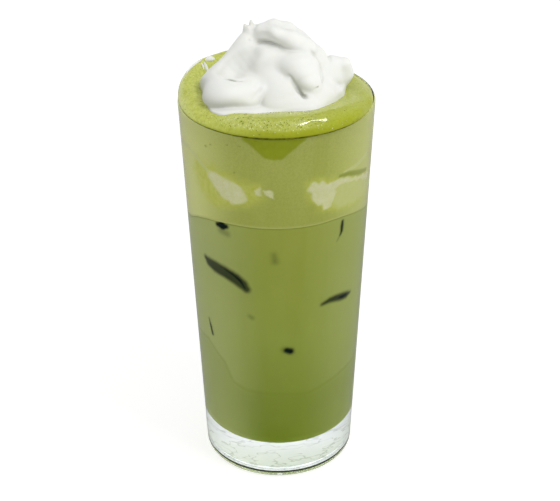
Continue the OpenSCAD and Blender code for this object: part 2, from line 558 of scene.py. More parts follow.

# %% [markdown]
# ## Dark places where ice leans on the wall
# Cubes that melt in a milky drink cannot be seen, except where one leans on the wall and leaves no milk
# between: there the eye looks into clear ice that no light reaches, and it looks nearly black. Milk thick
# enough to hide a cube could be a scattering volume, but that is slow and noisy. So each dark place is a line
# along the wall that widens and narrows, and that unlit dark is painted shade on the drink's surface, as a
# film of milk that thins out there. A cube stands behind the two long ones and the round one low in the
# middle of the front, and behind two at the back. The others are tips of ice that have no cube of their own
# here.

# %% Where the ice leans on the wall
# Each lean: points (direction, height in mm, half width in mm), how dark it looks, and how soft its edge is.
# The last three are on the back, where the same kind of patch is repeated.
LEANS = [
    dict(line=[(-54.3, 103.6, 1.2), (-51, 102.4, 2.2), (-45, 101.7, 2.8), (-37, 101.0, 2.8),
               (-29, 99.4, 2.8), (-24, 97.4, 2.5), (-21.4, 95.6, 1.8)], dark=0.88, soft=1.1),
    dict(line=[(-46, 103.2, 0.5), (-38, 102.6, 1.2), (-31, 101.2, 1.5), (-25.4, 99.0, 1.6),
               (-22.2, 95.9, 1.3)], dark=1.0, soft=1.5),
    dict(line=[(31.5, 86.2, 0.7), (37.6, 87.0, 1.3), (43, 86.7, 1.6), (49, 85.9, 1.8), (54, 85.3, 1.6),
               (58.5, 85.2, 0.5)], dark=0.90, soft=1.0),
    dict(line=[(46, 86.1, 1.0), (51, 85.7, 1.4), (54, 85.4, 1.0)], dark=1.0, soft=1.0),
    dict(line=[(4.5, 66.9, 1.2), (9.5, 65.4, 1.2)], dark=0.40, soft=1.4),
    dict(line=[(6.3, 66.4, 1.5), (8.5, 65.9, 1.6)], dark=1.0, soft=0.9),
    dict(line=[(-40.5, 122.6, 1.1), (-37, 122.8, 2.0), (-33.8, 123.0, 1.1)], dark=1.0, soft=0.7),
    dict(line=[(-38, 120.4, 1.4), (-33.5, 119.8, 1.2)], dark=0.40, soft=1.6),
    dict(line=[(45.4, 122.6, 0.6), (45.2, 120.6, 0.8), (45.0, 118.0, 0.7), (43.8, 116.4, 0.4)],
         dark=1.0, soft=0.6),
    dict(line=[(43.8, 116.4, 0.3), (41.5, 114.4, 0.2)], dark=0.45, soft=0.7),
    dict(line=[(-57, 73.4, 0.2), (-55.4, 70.0, 0.6), (-53.8, 66.2, 0.6)], dark=1.0, soft=0.6),
    dict(line=[(-2.3, 113.0, 0.8), (-1.6, 110.0, 1.1)], dark=0.42, soft=1.8),
    dict(line=[(-19.5, 82.5, 0.6), (-18, 82.0, 0.8)], dark=0.42, soft=1.4),
    dict(line=[(142, 79.0, 0.6), (148, 80.2, 2.0), (158, 79.6, 2.2), (165, 78.0, 0.8)], dark=0.90, soft=1.1),
    dict(line=[(-150, 107.0, 0.8), (-154, 104.2, 1.6), (-156, 101.4, 0.8)], dark=1.0, soft=0.9),
    dict(line=[(-108, 71.5, 0.5), (-102, 72.6, 1.4), (-96, 72.4, 0.6)], dark=0.85, soft=1.0),
]


def line_distance(direction, z, line):
    """Distance in mm along the wall from points to a line that widens and narrows."""
    radius = bore(z) / MM
    near = np.full(np.shape(z), 1e3)
    for (d0, z0, w0), (d1, z1, w1) in zip(line[:-1], line[1:]):
        across = np.radians(direction - d0) * radius
        up = z / MM - z0
        run = math.radians(d1 - d0) * float(bore((z0 + z1) / 2 * MM) / MM)
        rise = z1 - z0
        share = np.clip((across * run + up * rise) / (run * run + rise * rise), 0, 1)
        near = np.minimum(near, np.hypot(across - run * share, up - rise * share) - (w0 + (w1 - w0) * share))
    return near


def milk_film(direction, z):
    """How much of the drink's own colour is left where ice leans on the wall: 1 is all, 0 is none."""
    left = np.ones(np.shape(z))
    for lean in LEANS:
        edge = line_distance(direction, z, lean["line"])
        left = np.minimum(left, 1 - lean["dark"] * (1 - smooth_rise(edge, -lean["soft"], lean["soft"])))
    return left


print(len(LEANS), "places where ice leans on the wall")

# %% [markdown]
# ## The latte
# Milk with green tea whisked into it is opaque, a little translucent just under its surface, and darker
# towards the bottom. It fills the glass, so its wall is the glass's own wall, taken a hair deeper so that no
# air shows between.

# %% Edge between latte and foam
# How far the edge sags below its level along the wall, in mm, by direction
SAG = {-180: 4, -125: 8, -88: 9.5, -72: 7.2, -62: 4.2, -51: 2.1, -38: 0.7, -28: 0.2, -6: 0, 38: 0, 47: 0.5,
       54: 1.4, 66: 3.2, 78: 5.0, 110: 6, 150: 4}


def foam_edge(directions):
    """Height of the edge between latte and foam."""
    return FOAM_LINE - round_table(SAG, directions, soften=8) * MM


lowest_edge = foam_edge(around(36)).min()
print(f"the edge lies between {lowest_edge / MM:.1f} and {FOAM_LINE / MM:.1f} mm")

# %% Latte finish
milk_tea = Finish("milk_tea", Roughness=0.6, IOR=1.34, Specular_IOR_Level=0.0, Subsurface_Weight=0.25,
                  Subsurface_Radius=(0.0012, 0.0014, 0.0006), Subsurface_Scale=1.0)
tea_height = milk_tea.add("ShaderNodeSeparateXYZ", None, {"Vector": milk_tea.place()}, output="Z")
level = tea_height.between(FLOOR, FOAM_LINE)
tea_colour = milk_tea.add("ShaderNodeValToRGB", {"stops": [
    (0.0, behind_glass(88, 106, 22)), (0.05, behind_glass(100, 115, 38)), (0.21, behind_glass(113, 127, 48)),
    (0.53, behind_glass(126, 139, 57)), (1.0, behind_glass(133, 142, 58))]}, {"Fac": level})
cloud = milk_tea.noise(0.03, detail=2.0, stretch=(1, 1, 0.6))
trail = milk_tea.noise(0.006, detail=3.0, stretch=(1, 1, 0.12))
tea_layers = [
    (cloud.between(0.35, 0.7) * 0.3, behind_glass(122, 136, 50)),
    (trail.between(0.45, 0.75) * 0.18, behind_glass(108, 120, 34)),
    # the paler sides are painted light
    (milk_tea.painted("side") * 0.8, behind_glass(156, 167, 98)),
    (milk_tea.painted("below_line") * 0.7, behind_glass(98, 112, 36)),
    (milk_tea.painted("edge") * 0.7, behind_glass(108, 118, 38))]
# Painted shade: where ice leans on the wall the drink is painted nearly black, the dark of unlit ice.
unlit_ice_dark = rgb(6, 27, 23)
all_milk = milk_tea.layered(tea_colour, tea_layers)
milk_tea.plug(milk_tea.shader, {"Base Color": milk_tea.mix(milk_tea.painted("film"), unlit_ice_dark, all_milk)})

# %% [markdown]
# A faint line runs round the wall low down, higher at the left, and what lies below the line is a little
# deeper in colour.

# %% A deeper colour low on the wall
LOW_LINE = [(-180, 50, 0), (-100, 60, 0), (-60, 62, 0), (-43, 54.9, 0), (-36, 46.5, 0), (-24, 44.0, 0),
             (0, 43.8, 0), (23, 42.8, 0), (38, 45, 0), (54, 46.6, 0), (75, 47.3, 0), (130, 48, 0),
             (180, 50, 0)]


def deeper_below_line(direction, z):
    """Strength of the deeper colour: highest along the line and weaker below it."""
    near = line_distance(direction, z, LOW_LINE)
    known = np.array(LOW_LINE)
    below = np.interp(direction, known[:, 0], known[:, 1]) - z / MM
    return np.maximum(0.45 * (1 - smooth_rise(near, 0.2, 1.6)), 0.30 * smooth_rise(below, -0.5, 2.5))


# %% Latte piece
TEA_STEPS = 420
TEA_ROWS = 190
tea_directions = around(TEA_STEPS)
tea_edge = foam_edge(tea_directions)
tea_rows = [spot(tea_directions, r, z) for r, z in inside_outline(FLOOR + FLOOR_ROUND, INTO_WALL)[:-1]]
for share in np.linspace(0, 1, TEA_ROWS):
    z = FLOOR + FLOOR_ROUND + (tea_edge - FLOOR - FLOOR_ROUND) * share
    tea_rows.append(spot(tea_directions, bore(z) + INTO_WALL, z))
tea_rows.append(spot(tea_directions, bore(tea_edge) - 3 * MM, tea_edge))
tea_rows.append(spot(tea_directions, 0, FOAM_LINE - 4 * MM))
tea_mesh = ring_mesh("latte", np.stack(tea_rows))
tea_at = points_of(tea_mesh)
tea_direction = np.degrees(np.arctan2(tea_at[:, 0], -tea_at[:, 1]))
paint(tea_mesh, "film", milk_film(tea_direction, tea_at[:, 2]))
paint(tea_mesh, "below_line", deeper_below_line(tea_direction, tea_at[:, 2]))
# Painted light: the drink is painted paler towards its sides, more on the left, for the surround's light that
# the glass shows there.
across = np.sin(np.radians(tea_direction))
painted_left_light = smooth_rise(-across, 0.08, 0.8)
painted_right_light = 0.55 * smooth_rise(across, 0.2, 0.9)
paint(tea_mesh, "side", np.where(across < 0, painted_left_light, painted_right_light))
paint(tea_mesh, "edge", 1 - smooth_rise(foam_edge(tea_direction) - tea_at[:, 2], 0.1 * MM, 0.7 * MM))
latte = keep("latte_drink", tea_mesh, milk_tea.material)
print("latte reaches", round(max(v.co.z for v in latte.data.vertices) / MM, 1), "mm")

# %% [markdown]
# ## The foam
# The foam is thick enough to stand above the rim: it leaves the glass, swells out over the lip in a puffed
# ring, and dips again where the cream lies. The ring is high at the front and left and slumps at the back
# right, so its height is a table of directions that is joined smoothly round. The outline from wall to cream
# is one curve, in which the swell scales everything above the rim.

# %% Shape of the foam
# Height of the ring above the rim, in mm, by direction
SWELL = {-180: 4.5, -150: 7.2, -125: 8.3, -100: 7.8, -75: 6.2, -45: 5.2, 0: 6.2, 40: 5.6, 75: 3.0,
         110: 1.2, 150: 1.2}
FOAM_STEPS = 400
# How far the foam lies over the lip: 0 keeps inside it, 1 laps to its outer side
LAP = {-180: 0.1, -150: 0.5, -125: 0.9, -90: 1.0, 0: 1.0, 50: 1.0, 75: 0.75, 95: 0.35, 115: 0.1, 150: 0.05}
# Outline of the ring from where it leaves the glass: share of the way in to its top, share of its height
PUFF = [(0.0, 0.0), (-0.045, 0.10), (-0.05, 0.24), (0.03, 0.47), (0.20, 0.70), (0.47, 0.90), (0.80, 0.985),
        (1.05, 1.0), (1.55, 0.93), (2.05, 0.80), (2.8, 0.6)]
# Radius of the top of the ring, in mm, by direction
TOP_RADIUS = {-180: 33, -125: 34.6, -95: 34.2, -60: 32.3, 0: 32, 90: 32, 140: 32}


def through(points, steps):
    """A smooth curve through points, with a number of steps between each two."""
    known = np.array(points, float)
    known = np.vstack([2 * known[0] - known[1], known, 2 * known[-1] - known[-2]])
    share = np.linspace(0, 1, steps, endpoint=False)[:, None]
    runs = []
    for a, b, c, d in zip(known[:-3], known[1:-2], known[2:-1], known[3:]):
        runs.append(0.5 * (2 * b + (c - a) * share + (2 * a - 5 * b + 4 * c - d) * share ** 2
                           + (3 * b - a - 3 * c + d) * share ** 3))
    return np.vstack(runs + [known[-2]])


def foam_rows(directions):
    """Rows of points of the foam: from the middle of its underside, up the wall and over the ring."""
    edge = foam_edge(directions)
    rows = [spot(directions, 0, FOAM_LINE - 5 * MM), spot(directions, bore(edge) - 1 * MM, edge - 0.2 * MM)]
    for share in np.linspace(0, 1, 84):
        z = edge + (RIM - lip - 0.5 * MM - edge) * share
        rows.append(spot(directions, bore(z) + INTO_WALL, z))
    lap = round_table(LAP, directions)
    for share in np.linspace(0, 1, 7):
        turn = np.radians(180 - share * lap * 130)
        radius = RIM_RADIUS - lip + (lip - INTO_WALL) * np.cos(turn)
        z = RIM - lip + (lip - INTO_WALL) * np.sin(turn)
        rows.append(spot(directions, radius, z))
    swell = RIM + round_table(SWELL, directions) * MM
    top = round_table(TOP_RADIUS, directions) * MM
    for way, rise in through(PUFF, 5)[1:]:
        rows.append(spot(directions, radius + (top - radius) * way, z + (swell - z) * rise))
    rows.append(spot(directions, 0, z + (swell - z) * 0.5))
    return np.stack(rows)


foam_points = foam_rows(around(FOAM_STEPS))
above = smooth_rise(foam_points[..., 2], RIM - 0.5 * MM, RIM + 2.5 * MM)[..., None]
lumps = ripple(foam_points, 17 * MM, seed=3) * 0.28 + ripple(foam_points, 6 * MM, seed=4) * 0.10
outward = foam_points - np.array([0, 0, RIM - 6 * MM])
outward /= np.linalg.norm(outward, axis=-1, keepdims=True) + 1e-9
foam_points = foam_points + outward * above * lumps[..., None] * MM
foam_mesh = ring_mesh("foam", foam_points)
print("foam stands", round((foam_points[..., 2].max() - RIM) / MM, 1), "mm above the rim")

# %% [markdown]
# ### What shows through the wall
# Behind the glass the foam is not one green. Where it overflowed and slid back it is wetter and darker, and
# here and there paler froth that has hardly any tea in it is pressed against the wall. These fields are laid
# out on the wall as outlines of direction and height, and stored on the mesh with soft edges.

# %% Fields on the foam
PALE_FIELDS = [
    dict(outline=[(-46, 145.2), (-39, 146.2), (-33, 145.4), (-27, 144), (-22, 142.6), (-20, 140),
                  (-17.5, 137.6), (-22, 135.2), (-29, 134.6), (-36, 136.4), (-41, 139.2), (-45.5, 142.6)],
         soft=0.9),
    dict(outline=[(-8, 142.6), (-5.5, 142.2), (-3, 140.5), (-1, 138.8), (-5, 139.4), (-7, 140)], soft=0.4),
    dict(outline=[(-13, 142.2), (-10.4, 143.2), (-9.4, 141.6), (-9.6, 139.6), (-12, 140.2)], soft=0.6),
    dict(outline=[(19, 141.9), (21, 144.0), (23, 144.6), (28, 143.2), (34, 141.9), (38.5, 142.8), (43, 142.9),
                  (56, 139.9), (75, 136.4), (74, 134), (57, 138.1), (45, 140), (38.5, 139.5), (37, 135),
                  (35, 131.6), (31, 131.5), (26, 133.8), (21, 138.4)], soft=0.6),
    dict(outline=[(128, 146), (138, 147.5), (150, 144.6), (158, 141), (152, 138.6), (140, 139.4),
                  (131, 142)], soft=0.9),
    dict(outline=[(-140, 151), (-131, 152), (-122, 149), (-126, 145.4), (-136, 146.2)], soft=0.9),
]
LIGHT_FIELDS = [
    dict(outline=[(36, 140.5), (45, 140.6), (57, 138.6), (74, 134.6), (78, 131), (66, 127.8), (52, 128.8),
                  (41, 129.4), (37, 132)], soft=1.6),
]
YELLOW_FIELDS = [
    dict(outline=[(-57, 149.5), (-43, 149), (-29, 146.8), (-18, 145), (-10, 144.6), (-8, 138.6), (-17, 134.3),
                  (-29, 132.7), (-40, 130.6), (-49, 132.5), (-56, 136.5), (-60, 143)], soft=3.0),
    dict(outline=[(18, 145), (24, 146.2), (40, 143.5), (58, 140), (74, 136), (76, 131), (66, 127.2),
                  (52, 128), (40, 128.6), (28, 131), (19, 137)], soft=2.4),
]
WEDGE = dict(outline=[(-24, 166), (-20, 163.4), (-15, 161.2), (-10.5, 158.4), (-7, 156.3), (-2, 155.6),
                      (3, 155.9), (6.5, 158), (13, 161.6), (17, 163.4), (21, 166)], soft=0.5)


def dot(direction, height, half, soft):
    """A dark spot on the wall, as a very short line."""
    return dict(line=[(direction - 0.2, height, half), (direction + 0.2, height, half)], soft=soft)


STREAKS = {
    "pale_streak": [dict(line=[(-83, 149.4, 0.3), (-67, 151, 0.6), (-57, 149.4, 0.7), (-47, 146, 0.5)],
                         soft=0.7),
                    dict(line=[(45, 144.8, 0.2), (56, 145, 0.5), (68, 146.5, 0.5)], soft=0.9)],
    "dark_streak": [dict(line=[(41, 143.9, 0.2), (48, 143.4, 0.6), (60, 140.8, 0.7), (70, 139, 0.3)],
                         soft=0.8),
                    dot(-46, 156.3, 0.25, 0.4), dot(-26, 148.5, 0.2, 0.35), dot(-30, 159.8, 0.1, 0.3),
                    dot(-42, 157.8, 0.1, 0.3), dot(-22, 160.4, 0.1, 0.3)],
}


def inside_field(direction, z, field):
    """1 inside an outline on the wall, 0 outside, with a soft edge, in mm along the wall."""
    across = np.radians(direction) * bore(z) / MM
    up = z / MM
    corners = [(math.radians(d) * float(bore(h * MM)) / MM, h) for d, h in field["outline"]]
    near = np.full(np.shape(z), 1e3)
    within = np.zeros(np.shape(z), bool)
    for (x0, y0), (x1, y1) in zip(corners, corners[1:] + corners[:1]):
        run, rise = x1 - x0, y1 - y0
        share = np.clip(((across - x0) * run + (up - y0) * rise) / (run * run + rise * rise), 0, 1)
        near = np.minimum(near, np.hypot(across - x0 - run * share, up - y0 - rise * share))
        crosses = (up < y0) != (up < y1)
        with np.errstate(divide="ignore", invalid="ignore"):
            within ^= crosses & (across < x0 + run * (up - y0) / (rise if rise else 1e-9))
    return smooth_rise(np.where(within, near, -near), -field["soft"], field["soft"])


foam_at = points_of(foam_mesh)
foam_direction = np.degrees(np.arctan2(foam_at[:, 0], -foam_at[:, 1]))
foam_z = foam_at[:, 2]
on_wall = foam_z < RIM - 1 * MM
wobble = ripple(foam_at, 4 * MM, seed=8) * 0.7
wobbly = (foam_direction + wobble, foam_z + wobble * 0.5 * MM)
for name, fields in (("pale", PALE_FIELDS), ("yellow", YELLOW_FIELDS), ("light", LIGHT_FIELDS)):
    paint(foam_mesh, name, np.max([inside_field(*wobbly, one) for one in fields], axis=0) * on_wall)
paint(foam_mesh, "wet", inside_field(foam_direction + wobble * 0.3, foam_z, WEDGE) * on_wall)
# Painted light: the wall of foam is painted paler towards its sides, more on the left, for the surround's
# light that the glass shows there.
across = np.sin(np.radians(foam_direction))
painted_left_light = smooth_rise(-across, 0.35, 0.95)
painted_right_light = 0.65 * smooth_rise(across, 0.45, 1.0)
paint(foam_mesh, "side", np.where(across < 0, painted_left_light, painted_right_light) * on_wall)
paint(foam_mesh, "edge", 1 - smooth_rise(foam_z - foam_edge(foam_direction), 0.4 * MM, 1.2 * MM))
for name, streaks in STREAKS.items():
    gaps = [(line_distance(foam_direction, foam_z, one["line"]), one["soft"]) for one in streaks]
    strengths = [1 - smooth_rise(gap, 0, soft) for gap, soft in gaps]
    paint(foam_mesh, name, np.max(strengths, axis=0) * on_wall)
swell_here = round_table(SWELL, foam_direction)
# Painted light: the top of the ring is marked to be painted lighter on the left, for light that falls there.
paint(foam_mesh, "left", smooth_rise(-across, 0.0, 0.9) * smooth_rise(foam_z, RIM, RIM + 1.5 * MM))
paint(foam_mesh, "height_on_ring", np.clip((foam_z / MM - RIM / MM + 0.3) / (swell_here + 0.3), 0, 1))

# %% [markdown]
# ### Finish of the foam
# Wet froth is satin with sharp little lights on it. Only the part above the rim has that gloss: behind the
# wall the foam touches the glass, and there is no air for it to shine in. Its colour runs from pale green on
# top of the ring, where the bubbles are fresh, to a deeper olive at its foot, where the liquid gathers by the
# rim, and right along the rim the foot is painted nearly black as shade. Thousands of bubbles too small to
# model are a fine cell pattern in the bump.

# %% Foam finish
froth = Finish("froth", IOR=1.34, Specular_IOR_Level=0.0, Subsurface_Weight=0.3,
               Subsurface_Radius=(0.0014, 0.0016, 0.0006), Subsurface_Scale=1.0, Coat_Roughness=0.12)
froth_height = froth.add("ShaderNodeSeparateXYZ", None, {"Vector": froth.place()}, output="Z")
side_colour = froth.add("ShaderNodeValToRGB", {"stops": [
    (0.0, behind_glass(148, 155, 72)), (0.5, behind_glass(154, 161, 76)), (1.0, behind_glass(158, 165, 80))]},
    {"Fac": froth_height.between(FOAM_LINE, RIM)})
mottle = froth.noise(0.0022, detail=4.0, roughness=0.65)
bubbly = froth.cells(0.0009)
grit = froth.noise(0.0009, detail=3.0, roughness=0.7)
drip = froth.noise(0.005, detail=3.0, stretch=(1, 1, 0.12))
pale = froth.mix(mottle.between(0.3, 0.7), behind_glass(212, 211, 144), behind_glass(226, 224, 170))
yellow = froth.mix(mottle.between(0.3, 0.7), behind_glass(170, 177, 62), behind_glass(188, 194, 86))
wet = froth.mix(mottle, behind_glass(112, 124, 20), behind_glass(132, 143, 36))
side = froth.layered(side_colour, [
    (grit.between(0.35, 0.7) * 0.35, behind_glass(128, 136, 52)),
    (drip.between(0.45, 0.75) * 0.25, behind_glass(132, 140, 48)),
    # the paler sides are painted light
    (froth.painted("side"), behind_glass(204, 210, 116)),
    (froth.painted("edge") * 0.8, behind_glass(168, 175, 92)),
    (froth.painted("yellow") * 0.8, yellow),
    (froth.painted("light") * (0.65 + mottle * 0.25), behind_glass(190, 195, 118)),
    (froth.painted("wet"), wet),
    (froth.painted("pale_streak") * 0.7, behind_glass(190, 196, 120)),
    (froth.painted("dark_streak") * 0.75, behind_glass(108, 118, 40)),
    (froth.painted("pale") * (0.8 + bubbly * 0.2), pale)])
# The lowest stops paint a nearly black line along the rim: painted shade where the foam meets the lip.
top_colour = froth.add("ShaderNodeValToRGB", {"stops": [
    (0.0, rgb(20, 24, 1)), (0.10, rgb(36, 41, 2)), (0.16, rgb(146, 153, 30)), (0.30, rgb(158, 165, 38)),
    (0.6, rgb(172, 180, 56)), (0.85, rgb(180, 188, 78)), (1.0, rgb(182, 190, 84))]},
    {"Fac": froth.painted("height_on_ring")})
speck = 1 - froth.cells(0.0034).between(0.05, 0.10)
top_colour = froth.layered(top_colour, [
    # Painted light on the top of the ring: lighter on the left.
    (froth.painted("left") * 0.75, rgb(222, 229, 130)),
    (mottle.between(0.3, 0.7) * 0.35, rgb(160, 168, 34)),
    (grit.between(0.45, 0.7) * 0.35, rgb(130, 136, 14)),
    # Painted sparkle: paler where the bubbles crowd on the front, for the glints of the wet band.
    (froth.painted("crowd") * 0.45, rgb(206, 213, 122)),
    (speck * 0.6, rgb(84, 90, 8))])
above_rim = froth_height.between(RIM - 1.5 * MM, RIM - 1.2 * MM)
froth_colour = froth.mix(above_rim, side, top_colour)
froth_skin = bubbly.between(0.0, 0.6) * 0.5 + mottle * 0.5
froth_relief = froth_skin * (0.15 + above_rim * 0.85)
froth.plug(froth.shader, {
    "Base Color": froth_colour,
    "Roughness": 0.3 + mottle * 0.25,
    "Coat Weight": above_rim * 0.9,
    "Normal": froth.bump(froth_relief, 0.00025, 0.6)})
foam = keep("foam_layer", foam_mesh, froth.material)

# %% [markdown]
# ### Bubbles on the ring
# The larger bubbles stand out of the foam as tiny domes. Geometry Nodes scatter them: points are thrown on
# the ring, as close together as the painted crowd says, and each carries a small ball that is partly sunk.
# There are some two and a half thousand, so a ball has only forty faces.

# %% A tree that scatters bubbles


def bubbles_tree():
    """Geometry Nodes that scatter part-sunk balls on a surface by its painted crowd."""
    group, tree = new_group("bubbles", [("Per Square Metre", "Float", 1e5), ("Smallest", "Float", 0.0001),
                                        ("Largest", "Float", 0.0004), ("Sunk", "Float", 0.4),
                                        ("Seed", "Int", 1)])
    given = tree.add("NodeGroupInput", output="Geometry")
    crowd = tree.add("GeometryNodeInputNamedAttribute", {"data_type": "FLOAT"}, {"Name": "crowd"})
    density = crowd * given.other("Per Square Metre")
    points = tree.add("GeometryNodeDistributePointsOnFaces", None,
                      {"Mesh": given, "Density": density, "Seed": given.other("Seed")})
    chance = tree.add("FunctionNodeRandomValue", {"data_type": "FLOAT"}, {"Seed": given.other("Seed")})
    spread = given.other("Largest") - given.other("Smallest")
    size = given.other("Smallest") + chance * chance * chance * spread
    inwards = tree.add("ShaderNodeVectorMath", {"operation": "SCALE"},
                       {0: points.other("Normal"), "Scale": size * given.other("Sunk") * -1})
    sunk = tree.add("GeometryNodeSetPosition", None, {"Geometry": points, "Offset": inwards})
    ball = tree.add("GeometryNodeMeshUVSphere", None, {"Segments": 8, "Rings": 5, "Radius": 1.0},
                    output="Mesh")
    balls = tree.add("GeometryNodeInstanceOnPoints", None,
                     {"Points": sunk, "Instance": ball, "Scale": size})
    real = tree.add("GeometryNodeRealizeInstances", None, {"Geometry": balls})
    smooth = tree.add("GeometryNodeSetShadeSmooth", None, {"Geometry": real})
    dressed = tree.add("GeometryNodeSetMaterial", None,
                       {"Geometry": smooth, "Material": given.other("Material")})
    tree.add("NodeGroupOutput", None, {"Geometry": dressed})
    return group


# %% Bubble finish and piece
bubble_skin = Finish("bubble_skin", Roughness=0.2, IOR=1.34, Coat_Weight=1.0, Coat_Roughness=0.15)
painted_bubble_glint = bubble_skin.noise(0.0012, detail=1.0)
# Painted glints: bubbles are mixed by chance between olive and near white, and the near white ones stand in
# for highlights.
bubble_skin.plug(bubble_skin.shader, {"Base Color": bubble_skin.mix(
    painted_bubble_glint.between(0.42, 0.58), rgb(136, 144, 22), rgb(224, 230, 160))})
front_face = smooth_rise(np.cos(np.radians(foam_direction + 6)), 0.75, 0.96)
above_foot = smooth_rise(foam_z, RIM + 2.4 * MM, RIM + 3.6 * MM)
mid_height = above_foot * (1 - smooth_rise(foam_z, RIM + 5.4 * MM, RIM + 6.2 * MM))
on_ring = smooth_rise(foam_z, RIM + 0.8 * MM, RIM + 1.6 * MM)
paint(foam_mesh, "crowd", on_ring * (0.05 + 0.95 * front_face * mid_height))
bubbles = grow("foam_bubbles", foam_mesh.copy(), bubbles_tree(),
               {"Per Square Metre": 3.0e6, "Smallest": 0.12 * MM, "Largest": 0.34 * MM, "Sunk": 0.45,
                "Seed": 5, "Material": bubble_skin.material})

# %% [markdown]
# ## The whipped cream
# A spooned dollop is soft lobes that were folded over one another: smooth where the spoon passed, creased
# where one lobe lies on the next, and drawn out into torn tips where it let go. Sculpting by hand would not
# be a recipe anyone could rerun, so the dollop is described as a field of distances. Each lobe is a row of
# balls swept one into the next, lobes melt together over a set width, creases are thin strokes taken away
# again, and the surface is drawn where the distance is nothing. Positions are in millimetres from the middle
# of the rim: right, away, up.

# %% Tools for a field of distances


def melt(a, b, width):
    """The union of two fields, which melt together over a width."""
    share = np.clip(0.5 + 0.5 * (b - a) / width, 0, 1)
    return b + (a - b) * share - width * share * (1 - share)


def carve(a, b, width):
    """Field a with field b taken away from it."""
    return -melt(-a, b, width)


def egg(p, centre, radii):
    scaled = (p - np.array(centre, np.float32)) / np.array(radii, np.float32)
    reach = np.linalg.norm(scaled, axis=-1)
    steep = np.linalg.norm(scaled / np.array(radii, np.float32), axis=-1) + 1e-6
    return reach * (reach - 1) / steep


def swept(p, balls, width=0.0):
    """Balls (x, y, z, radius) swept one into the next."""
    near = None
    for a, b in zip(balls[:-1], balls[1:]):
        start = np.array(a[:3], np.float32)
        run = np.array(b[:3], np.float32) - start
        share = np.clip(((p - start) @ run) / (run @ run), 0, 1)
        gap = np.linalg.norm(p - start - share[..., None] * run, axis=-1) - (a[3] + (b[3] - a[3]) * share)
        near = gap if near is None else melt(near, gap, width) if width else np.minimum(near, gap)
    return near


def curved(balls, steps=4):
    return through(balls, steps).tolist()


# %% The lobes of the dollop
# How far the skirt of cream reaches over the foam, in mm, by direction
SKIRT = {-180: 28.5, -135: 29, -100: 29, -81: 27, -67: 28, -55: 31, -46: 35.2, -36: 36, -26: 31, -12: 27,
         11: 26, 23: 27, 34: 27.2, 49: 26, 65: 25.6, 82: 27, 100: 28.5, 135: 28}
SKIRT_TOP = 5.6
BODY = ((1, 2, -5), (27, 26, 24))
CORE = [(-4, 6, 16, 8), (6, 6, 16, 8)]
SHOULDER = [(-10.1, 2, 25.4, 2.2), (-17.2, -6, 6.3, 12.2)]
LEFT_LOBE = [(-17.0, -7, 6.3, 11.4), (-18.0, -10.5, 6.4, 10.6)]
BELLY = ((-16.3, -15.6, 8.4), (12.2, 10.6, 6.9))
FLAP = [(16.4, 2, 5.9, 8.5), (20.2, 3, 6.6, 7.6), (22.7, 3, 5.9, 6.2)]
FLAP_EDGE = [(22.2, 3, 11.9, 4.4), (25.8, 3, 12.6, 2.9), (27.4, 3, 7.5, 3.0)]
APRON = ((6, -9, -1), (18, 19, 17))
APRON_FOOT = (5, -26.5, 5)
APRON_SLOPE = (0.10, -0.60, 0.79)
FRONT = ((0.2, -11, 7.6), (11, 9, 7))
FACE = ((1.5, -1.5, 11.8), (17.8, 11.2, 13.0))
TONGUE = [(5.7, -5, 14.9, 8.5), (9.1, -9, 14.2, 8.0), (11.7, -14, 11.3, 5.4)]
CREST = [(-7.8, 2, 24.6, 3.0), (-4.6, 3, 26.0, 3.6), (-0.8, 3, 27.0, 4.0), (3.9, 3, 25.3, 4.2),
         (8.9, 2, 21.1, 4.6), (14.0, 1, 16.1, 4.8), (16.7, 0, 11.0, 5.0)]
SHEET = [(-5.0, -0.5, 27.0, 2.4), (-0.6, -3, 28.0, 3.0), (5.0, -4.5, 25.8, 3.6), (10.6, -4, 20.6, 4.6)]
TIPS = [[(-8.5, 2, 23.7, 3.0), (-10.6, 2, 26.7, 1.7), (-11.5, 2, 29.1, 0.6)],
        [(-7.4, 2, 24.6, 2.2), (-8.5, 2, 27.9, 1.5), (-9.2, 2, 31.2, 0.5)],
        [(-7.0, 2, 24.6, 2.2), (-7.1, 2.5, 27.7, 1.3), (-6.9, 2.5, 29.1, 0.5)],
        [(-9.7, 1, 25.8, 1.5), (-10.0, 1, 27.9, 1.0), (-10.2, 1, 28.7, 0.5)]]


def skirt_field(p):
    direction = np.degrees(np.arctan2(p[..., 0], -p[..., 1]))
    edge = round_table(SKIRT, direction, soften=8)
    radius = np.hypot(p[..., 0], p[..., 1])
    top = SKIRT_TOP + 0.16 * np.clip(edge - radius, 0, 30)
    return -melt(-(radius - edge), -(np.abs(p[..., 2] - 1) - (top - 1)), 1.2)


def apron_field(p):
    slope = np.array(APRON_SLOPE, np.float32)
    above_slope = (p - np.array(APRON_FOOT, np.float32)) @ (slope / np.linalg.norm(slope))
    return -melt(-above_slope, -egg(p, *APRON), 2.5)


def lobes_field(p):
    field = melt(egg(p, *BODY), swept(p, CORE), 3.0)
    field = melt(field, swept(p, SHOULDER), 2.5)
    field = melt(field, swept(p, LEFT_LOBE), 2.0)
    field = melt(field, egg(p, *BELLY), 1.5)
    field = melt(field, skirt_field(p), 1.2)
    field = melt(field, melt(swept(p, FLAP, 1.0), swept(p, FLAP_EDGE), 2.0), 0.8)
    field = melt(field, apron_field(p), 0.6)
    field = melt(field, egg(p, *FRONT), 2.5)
    field = melt(field, egg(p, *FACE), 2.0)
    field = melt(field, swept(p, TONGUE, 1.5), 1.2)
    return melt(field, melt(swept(p, CREST, 1.0), swept(p, SHEET, 1.0), 3.0), 0.6)


